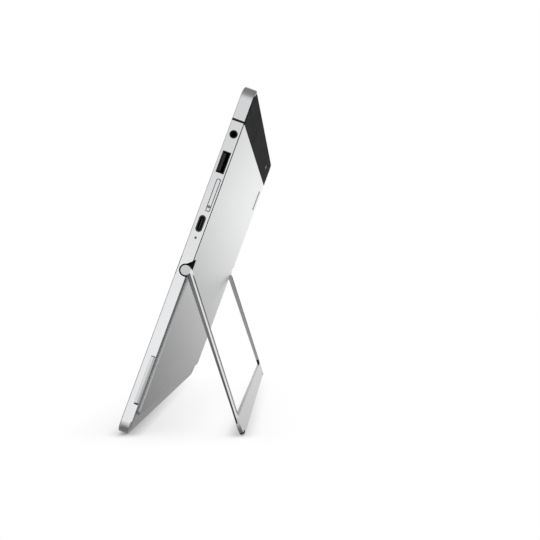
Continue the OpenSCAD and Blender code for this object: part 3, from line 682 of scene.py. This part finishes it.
lens_glass = coated_lens("lens_glass")
camera_glass = plastic("camera_glass", (0.012, 0.012, 0.014), rough=0.34, spec=0.05, grain=0.1,
                       scale=2600)
light_pipe = smoked_pipe("light_pipe")
cover_glass = cover("cover_glass_ink")
lit_panel = panel("display_panel_lit")

# By CAD piece, where it has its own finish
BY_PIECE = {
    "cover_glass": cover_glass, "glass_gasket": gasket_rubber, "display_panel": lit_panel,
    "display_support": magnesium, "side_frame": frame_alu, "top_frame": frame_alu,
    "antenna_breaks": break_plastic, "back_plate": back_alu, "radio_window": window_plastic,
    "rear_camera_window": camera_glass, "kickstand": stand_alu, "hinge_caps": cap_alu,
    "usb_a_shell": port_steel, "usb_c_shell": port_steel, "kickstand_feet": foot_rubber,
    "hinge_shafts": hinge_steel, "hinge_barrels": hinge_steel, "hinge_washers": hinge_steel,
    "hinge_nuts": brass, "volume_rocker": rocker_alu, "power_button": key_alu,
    "sim_tray": frame_alu, "sim_card": gold, "speaker_meshes": speaker_cloth,
    "solid_state_drive": drive_board, "processor": processor_epoxy, "charge_light": light_pipe,
    "battery_cells": cell_wrap, "battery_cable": red_film, "heat_spreader": copper,
    "antennas": flex_film, "display_cable": flex_film, "button_board": flex_film,
}
# By CAD material, for the rest
BY_SLOT = {
    "black_glass": cover_glass, "gasket": gasket_rubber, "screen": lit_panel,
    "magnesium": magnesium, "frame_metal": frame_alu, "back_metal": back_alu,
    "stand_metal": stand_alu, "dark_plastic": window_plastic, "black_plastic": black_plastic,
    "lens": lens_glass, "steel": steel, "gold_contact": gold, "circuit_board": main_board,
    "chip": chip_epoxy, "copper": copper, "flex": flex_film, "cell_foil": cell_wrap,
    "cable_red": red_film, "rubber_foot": foot_rubber, "light_pipe": light_pipe,
}
for name, node in NODES.items():
    for slot in node.material_slots:
        key = slot.material.name.split(".")[0] if slot.material else "steel"
        slot.material = BY_PIECE.get(name) or BY_SLOT.get(key, steel)


# ------------------------------------------------------------------ mesh helpers
@contextmanager
def piece(name, material, slot, angle, body="tablet"):
    """Hands out an empty mesh, then makes it an object; edges over the angle stay sharp."""
    mesh = bmesh.new()
    yield mesh
    bmesh.ops.recalc_face_normals(mesh, faces=mesh.faces)
    data = bpy.data.meshes.new(name)
    mesh.to_mesh(data)
    mesh.free()
    thing = bpy.data.objects.new(name, data)
    bpy.context.scene.collection.objects.link(thing)
    data.materials.append(material)
    for face in data.polygons:
        face.use_smooth = True
    data.set_sharp_from_angle(angle=math.radians(angle))
    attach(thing, body)


def add_ring(mesh, points):
    return [mesh.verts.new(point) for point in points]


def bridge(mesh, first, second):
    """Joins two rings with the same count by quads."""
    count = len(first)
    for i in range(count):
        j = (i + 1) % count
        mesh.faces.new((first[i], first[j], second[j], second[i]))


def fan(mesh, tip, ring):
    for i, vert in enumerate(ring):
        mesh.faces.new((tip, ring[(i + 1) % len(ring)], vert))


def lathe(mesh, centre, axis, profile, segments):
    """Turns (radius, along) pairs, in mm, round an axis square to UP.

    A profile with no point on the axis closes on itself into a ring.
    """
    third = axis.cross(UP)
    turns = [2 * math.pi * i / segments for i in range(segments)]
    rings = []
    for radius, along in profile:
        hub = centre + axis * along * MM
        if radius == 0:
            rings.append([mesh.verts.new(hub)])
        else:
            rings.append(add_ring(mesh, [
                hub + (UP * math.cos(turn) + third * math.sin(turn)) * radius * MM
                for turn in turns]))
    for first, second in zip(rings, rings[1:]):
        if len(first) == 1:
            fan(mesh, first[0], second)
        elif len(second) == 1:
            fan(mesh, second[0], first)
        else:
            bridge(mesh, first, second)
    if len(rings[0]) > 1:
        bridge(mesh, rings[-1], rings[0])


def rounded_rectangle(width, height, radius, steps):
    """Outline centred on zero, as pairs."""
    right, top = width / 2 - radius, height / 2 - radius
    corners = ((right, top, 0), (-right, top, 90), (-right, -top, 180), (right, -top, 270))
    outline = []
    for x, y, start in corners:
        for i in range(steps + 1):
            turn = math.radians(start + 90.0 * i / steps)
            outline.append((x + radius * math.cos(turn), y + radius * math.sin(turn)))
    return outline


def loft(mesh, sections):
    """Joins closed sections and caps both ends."""
    rings = [add_ring(mesh, section) for section in sections]
    for first, second in zip(rings, rings[1:]):
        bridge(mesh, first, second)
    mesh.faces.new(rings[0])
    mesh.faces.new(list(reversed(rings[-1])))


def strip(mesh, path, width, thick, across):
    """A bent strip: path in metres, width along across, thickness square to the path."""
    across = Vector(across).normalized()
    side = across * width * MM / 2
    sections = []
    for i, point in enumerate(path):
        run = (path[min(i + 1, len(path) - 1)] - path[max(i - 1, 0)]).normalized()
        rise = run.cross(across).normalized() * thick * MM / 2
        sections.append([point - side - rise, point + side - rise,
                         point + side + rise, point - side + rise])
    loft(mesh, sections)


def block(mesh, centre, size):
    """A small block with softened ends; centre and size are (x, depth, height)."""
    x, depth, height = centre
    length, thick, tall = size
    outline = rounded_rectangle(thick, tall, radius=min(thick, tall) * 0.3, steps=3)
    # Stations: share of the half length, share of the section
    stations = ((-1, 0.7), (-0.86, 1.0), (0.86, 1.0), (1, 0.7))
    loft(mesh, [[at(x + share * length / 2, depth + u * swell, height + v * swell)
                 for u, v in outline] for share, swell in stations])


def row(start, pitch, count):
    return [start + i * pitch for i in range(count)]


def side_path(points, height):
    """Path from (inset from the right side, depth) pairs at one height."""
    return [at(HALF_WIDTH - inset, depth, height) for inset, depth in points]


# ------------------------------------------------------------------ large port
# Each bend is (inset from the right side, depth)
LONG_CONTACT = ((11.8, 3.93), (5.0, 3.96), (3.2, 4.22), (2.3, 4.24), (1.5, 3.97))
SHORT_CONTACT = ((12.3, 4.02), (10.6, 4.32), (9.0, 4.60), (8.4, 4.36))
LATCH_SPRING = ((12.0, 5.95), (7.0, 5.72), (4.6, 5.30), (3.4, 5.32), (1.4, 5.98))
usb_a = middle_height("usb_a_tongue")

with piece("usb_a_contacts", contact_metal, "gold_contact", angle=50) as mesh:
    for height in row(usb_a - 3.5, pitch=2.333, count=4):
        strip(mesh, side_path(LONG_CONTACT, height), width=1.0, thick=0.09, across=UP)
    for height in row(usb_a - 4.2, pitch=2.1, count=5):
        strip(mesh, side_path(SHORT_CONTACT, height), width=0.62, thick=0.09, across=UP)

with piece("usb_a_springs", port_steel, "steel", angle=50) as mesh:
    for height in (usb_a - 3.1, usb_a + 3.1):
        strip(mesh, side_path(LATCH_SPRING, height), width=1.7, thick=0.16, across=UP)

# ------------------------------------------------------------------ small port
usb_c = middle_height("usb_c_tongue")

with piece("usb_c_contacts", contact_metal, "gold_contact", angle=50) as mesh:
    for height in row(usb_c - 2.75, pitch=0.5, count=12):
        for depth in (3.66, 4.34):               # both faces of the tongue
            block(mesh, centre=(HALF_WIDTH - 2.9, depth, height), size=(3.0, 0.06, 0.26))

with piece("usb_c_collar", port_steel, "steel", angle=50) as mesh:
    outline = rounded_rectangle(0.62, 6.2, radius=0.28, steps=5)
    # The outline is widened by 1.3 in depth and 1.06 in height
    loft(mesh, [[at(HALF_WIDTH - inset, 4.0 + u * 1.3, usb_c + v * 1.06) for u, v in outline]
                for inset in (7.3, 6.6)])

# ------------------------------------------------------------------ headset jack
jack_low, jack_high = box("headset_jack")
if jack_high.z - jack_low.z < 6.4:               # a short body is measured from its top
    jack_height = jack_high.z - 3.1
else:
    jack_height = (jack_low.z + jack_high.z) / 2
jack = at(HALF_WIDTH, 4.05, jack_height)

with piece("jack_collar", black_plastic, "black_plastic", angle=40) as mesh:
    lathe(mesh, jack, -ACROSS, segments=56, profile=[
        (1.80, 0.22), (2.28, 0.22), (2.30, 0.30), (2.28, 0.95), (1.80, 0.95)])

JACK_CONTACTS = ((35, 3.0), (155, 5.5), (275, 8.0))         # degrees round the bore, inset
# Bowed contact: distance from the bore's axis, inset from its middle
JACK_BOW = ((1.79, -1.6), (1.60, -0.6), (1.36, 0.0), (1.60, 0.6), (1.79, 1.6))
with piece("jack_contacts", contact_metal, "gold_contact", angle=50) as mesh:
    for degrees, inset in JACK_CONTACTS:
        cosine, sine = math.cos(math.radians(degrees)), math.sin(math.radians(degrees))
        outward = BACK * cosine + UP * sine
        path = [jack - ACROSS * (inset + shift) * MM + outward * radius * MM
                for radius, shift in JACK_BOW]
        strip(mesh, path, width=1.0, thick=0.12, across=UP * cosine - BACK * sine)

# ------------------------------------------------------------------ card tray
tray_x = box("sim_tray")[1].x                    # outer face

# Release ring round the pin hole
with piece("card_tray_pin_ring", foot_rubber, "frame_metal", angle=40, body="card_tray") as mesh:
    lathe(mesh, at(tray_x, 5.15, middle_height("sim_tray") - 7.1), -ACROSS, segments=32,
          profile=[(0.49, -0.04), (0.84, -0.04), (0.88, 0.05), (0.49, 0.30)])

# Black rubber seal round the tray's face
with piece("card_tray_seal", foot_rubber, "gasket", angle=40, body="card_tray") as mesh:
    face = [point for point in raw_points("sim_tray") if point[0] > HALF_WIDTH - 0.4]
    depths = [point[1] - FRONT for point in face]
    heights = [point[2] - BOTTOM for point in face]
    mid_depth = (min(depths) + max(depths)) / 2
    mid_height = (min(heights) + max(heights)) / 2
    width, tall = max(depths) - min(depths), max(heights) - min(heights)
    outer = rounded_rectangle(width - 0.02, tall - 0.02, radius=0.5, steps=6)
    inner = rounded_rectangle(width - 0.66, tall - 0.66, radius=0.28, steps=6)
    sunk, proud = tray_x - 0.12, tray_x + 0.035
    rings = [add_ring(mesh, [at(x, mid_depth + u, mid_height + v) for u, v in outline])
             for outline, x in ((outer, sunk), (outer, proud), (inner, proud), (inner, sunk))]
    for first, second in zip(rings, rings[1:] + rings[:1]):
        bridge(mesh, first, second)

# ------------------------------------------------------------------ thumb scoops
# Black blocks at the ends of the scoops, painted shade standing in for the shade in the notches
# there: height, size along the height
SCOOP_SHADE_BLOCKS = ((19.62, 0.80), (48.62, 0.42))
with piece("scoop_shade_blocks", black_plastic, "black_plastic", angle=40) as mesh:
    for side in (1, -1):
        for height, tall in SCOOP_SHADE_BLOCKS:
            block(mesh, centre=(side * (HALF_WIDTH - 0.52), 4.86, height),
                  size=(0.86, 2.92, tall))

# ------------------------------------------------------------------ speaker grilles
# Woven wires behind the glass slots: four run up, the others weave across
GRILLE_X = HALF_WIDTH - 3.6
GRILLE_WIRE = {"width": 0.085, "thick": 0.05}
CROSS_WIRES = 46
for side, tag in ((1, "right"), (-1, "left")):
    with piece("speaker_grille_" + tag, steel, "steel", angle=50) as mesh:
        for shift in (-0.42, -0.14, 0.14, 0.42):
            path = [at(side * (GRILLE_X + shift), 0.085, height)
                    for height in row(51.0, pitch=1.2, count=21)]
            strip(mesh, path, across=ACROSS, **GRILLE_WIRE)
        for i, height in enumerate(row(51.1, pitch=23.8 / (CROSS_WIRES - 1), count=CROSS_WIRES)):
            path = [at(side * (GRILLE_X - 0.62 + j * 0.155), 0.075 + 0.035 * ((i + j) % 2), height)
                    for j in range(9)]
            strip(mesh, path, across=UP, **GRILLE_WIRE)

# ------------------------------------------------------------------ groove liner
# Dark liner in the groove between frame and back plate, with a shallow V in its outer face
LINER_X = HALF_WIDTH - 0.62
LINER_FRONT, LINER_BACK = THICKNESS - 0.74, THICKNESS - 0.30
LINER_SECTION = (                                # x, depth
    (LINER_X - 0.5, LINER_FRONT), (LINER_X, LINER_FRONT),
    (LINER_X - 0.06, (LINER_FRONT + LINER_BACK) / 2),
    (LINER_X, LINER_BACK), (LINER_X - 0.5, LINER_BACK),
)
with piece("vent_liner", black_plastic, "black_plastic", angle=40) as mesh:
    for side in (1, -1):
        loft(mesh, [[at(side * x, depth, height) for x, depth in LINER_SECTION]
                    for height in (109.2, 191.6)])

# ------------------------------------------------------------------ rear camera
# Profiles are (radius, depth)
camera_low, camera_high = box("rear_camera_window")
rear_camera = at((camera_low.x + camera_high.x) / 2, 0, middle_height("rear_camera_window"))

with piece("rear_camera_trim", window_plastic, "frame_metal", angle=40) as mesh:
    lathe(mesh, rear_camera, BACK, segments=72, profile=[
        (3.08, 8.0), (3.44, 8.0), (3.46, 8.05), (3.40, 8.12), (3.20, 8.13), (3.08, 8.06)])

with piece("rear_camera_lens", lens_glass, "lens", angle=40) as mesh:
    lathe(mesh, rear_camera, BACK, segments=56, profile=[
        (0.0, 8.035), (0.55, 8.032), (1.05, 8.018), (1.45, 8.003), (1.45, 7.99), (0.0, 7.99)])

with piece("rear_camera_rings", window_plastic, "black_plastic", angle=40) as mesh:
    for inner, outer in ((1.50, 1.68), (2.02, 2.16), (2.52, 2.62)):
        lathe(mesh, rear_camera, BACK, segments=56, profile=[
            (inner, 7.995), (outer, 7.995), (outer, 8.012), (inner, 8.022)])

# ------------------------------------------------------------------ front camera
# Profiles are (radius, distance out of the glass)
FRONT_CAMERA_HEIGHT = 203.9
front_camera = at(0, 0, FRONT_CAMERA_HEIGHT)

with piece("front_camera_lens", lens_glass, "lens", angle=40) as mesh:
    lathe(mesh, front_camera, -BACK, segments=48, profile=[
        (0.0, -0.012), (0.8, -0.014), (1.15, -0.02), (1.15, -0.05), (0.0, -0.05)])
    # Small round window to its right
    lathe(mesh, at(6.2, 0, FRONT_CAMERA_HEIGHT), -BACK, segments=32, profile=[
        (0.0, 0.004), (0.42, 0.002), (0.42, -0.02), (0.0, -0.02)])

with piece("front_camera_ring", key_alu, "frame_metal", angle=40) as mesh:
    lathe(mesh, front_camera, -BACK, segments=48, profile=[
        (1.42, 0.0), (1.62, 0.0), (1.62, 0.012), (1.42, 0.014)])


# ------------------------------------------------------------------ table
# Contact shadows: reach in metres, openness at full shadow, depth of that shadow
CONTACT_SHADOWS = ((0.045, 0.10, 0.30), (0.009, 0.15, 0.52))


def table_material():
    """White table that only holds the soft contact shadows, which fade out towards -X."""
    material = bpy.data.materials.new("table")
    net = Nodes(material)
    net.tree.nodes.clear()
    output = net.node("ShaderNodeOutputMaterial")
    emission = net.node("ShaderNodeEmission")
    near = net.span(net.separate(net.geometry("Position"))["X"], (-0.13, 0.12))
    lights = []
    for reach, closed, strength in CONTACT_SHADOWS:
        occlusion = net.node("ShaderNodeAmbientOcclusion", samples=16)
        occlusion.inputs["Distance"].default_value = reach
        shadow = net.span(occlusion.outputs["AO"], (closed, 1.0), to=(strength, 0.0))
        lights.append(net.sub(1.0, net.mul(shadow, near)))
    net.put(emission.inputs["Strength"], net.mul(*lights))
    net.put(output.inputs[0], emission.outputs[0])
    return material


# Just under z = 0, so that it never meets the feet
bpy.ops.mesh.primitive_plane_add(size=8, location=(0, 0, -0.00002))
table = bpy.context.object
table.name = "table"
table.data.materials.append(table_material())
table.visible_glossy = False
table.visible_diffuse = False
table.visible_shadow = False

# ------------------------------------------------------------------ world
# Brightness by the direction's z, from straight down to straight up
SKY_LEFT = (
    (-1.0, 0.15), (-0.32, 0.21), (-0.22, 0.36), (-0.14, 0.59), (-0.10, 0.76), (0.0, 1.15),
    (0.09, 0.94), (0.14, 0.96), (0.22, 1.40), (0.45, 1.3), (0.62, 0.55), (0.8, 0.2), (1.0, 0.16),
)
SKY_RIGHT = (
    (-1.0, 0.14), (-0.6, 0.42), (-0.3, 0.90), (-0.16, 1.18), (-0.08, 1.22), (0.0, 1.13),
    (0.1, 0.88), (0.2, 0.76), (0.32, 0.88), (0.45, 0.72), (0.65, 0.32), (1.0, 0.16),
)


def sky(net, z, stops):
    return net.ramp(net.span(z, (-1.0, 1.0)),
                    [((level + 1) / 2, (grey, grey, grey)) for level, grey in stops])


def studio_world():
    """The camera sees white; the object is lit by a grey studio, darker before the glass."""
    world = bpy.data.worlds.new("studio")
    bpy.context.scene.world = world
    net = Nodes(world)
    net.tree.nodes.clear()
    output = net.node("ShaderNodeOutputWorld")
    switch = net.node("ShaderNodeMixShader")
    seen = net.node("ShaderNodeBackground")
    net.put(seen.inputs[0], (1, 1, 1))
    studio = net.node("ShaderNodeBackground")
    direction = net.separate(net.node("ShaderNodeTexCoord").outputs["Generated"])
    left = sky(net, direction["Z"], SKY_LEFT)
    right = sky(net, direction["Z"], SKY_RIGHT)
    sideways = net.span(direction["X"], (-0.35, 0.35))
    net.put(studio.inputs[0], net.mix(sideways, left, right))
    net.put(studio.inputs[1], net.span(direction["Y"], (-0.95, -0.45), to=(0.45, 1.0)))
    camera_ray = net.node("ShaderNodeLightPath").outputs["Is Camera Ray"]
    net.put(switch.inputs[0], camera_ray)
    net.put(switch.inputs[1], studio.outputs[0])
    net.put(switch.inputs[2], seen.outputs[0])
    net.put(output.inputs[0], switch.outputs[0])


studio_world()
bpy.context.scene.view_settings.view_transform = "Standard"

# ------------------------------------------------------------------ fill light
FILL_PLACE, FILL_TARGET = Vector((0.5, -1.2, 1.1)), Vector((0, 0, 0.1))
fill = bpy.data.lights.new("fill", "AREA")
fill.shape = "RECTANGLE"
fill.size, fill.size_y = 1.2, 0.8
fill.energy = 1.5
fill_object = bpy.data.objects.new("fill", fill)
bpy.context.scene.collection.objects.link(fill_object)
aim = (FILL_TARGET - FILL_PLACE).normalized().to_track_quat("-Z", "Y")
fill_object.matrix_world = Matrix.Translation(FILL_PLACE) @ aim.to_matrix().to_4x4()
fill_object.visible_camera = False

# ------------------------------------------------------------------ camera
# To the right of the tablet, looking along -X; angles in radians
CAMERA_PLACE = Vector((0.60491, 0.06144, 0.09119))
YAW, PITCH, ROLL = 0.0293, 0.01052, 0.00254      # towards -Y, upwards, about the view
forward = Vector((-math.cos(YAW) * math.cos(PITCH), -math.sin(YAW) * math.cos(PITCH),
                  math.sin(PITCH)))
level_right = forward.cross(Vector((0, 0, 1))).normalized()
level_up = level_right.cross(forward).normalized()
camera_right = math.cos(ROLL) * level_right + math.sin(ROLL) * level_up
camera_up = -math.sin(ROLL) * level_right + math.cos(ROLL) * level_up

camera = bpy.data.cameras.new("camera")
camera.sensor_width = 36.0
camera.lens = 52.826667
camera.clip_start, camera.clip_end = 0.01, 20
camera_object = bpy.data.objects.new("camera", camera)
bpy.context.scene.collection.objects.link(camera_object)
pose = Matrix((camera_right, camera_up, -forward)).transposed().to_4x4()
pose.translation = CAMERA_PLACE
camera_object.matrix_world = pose
bpy.context.scene.camera = camera_object
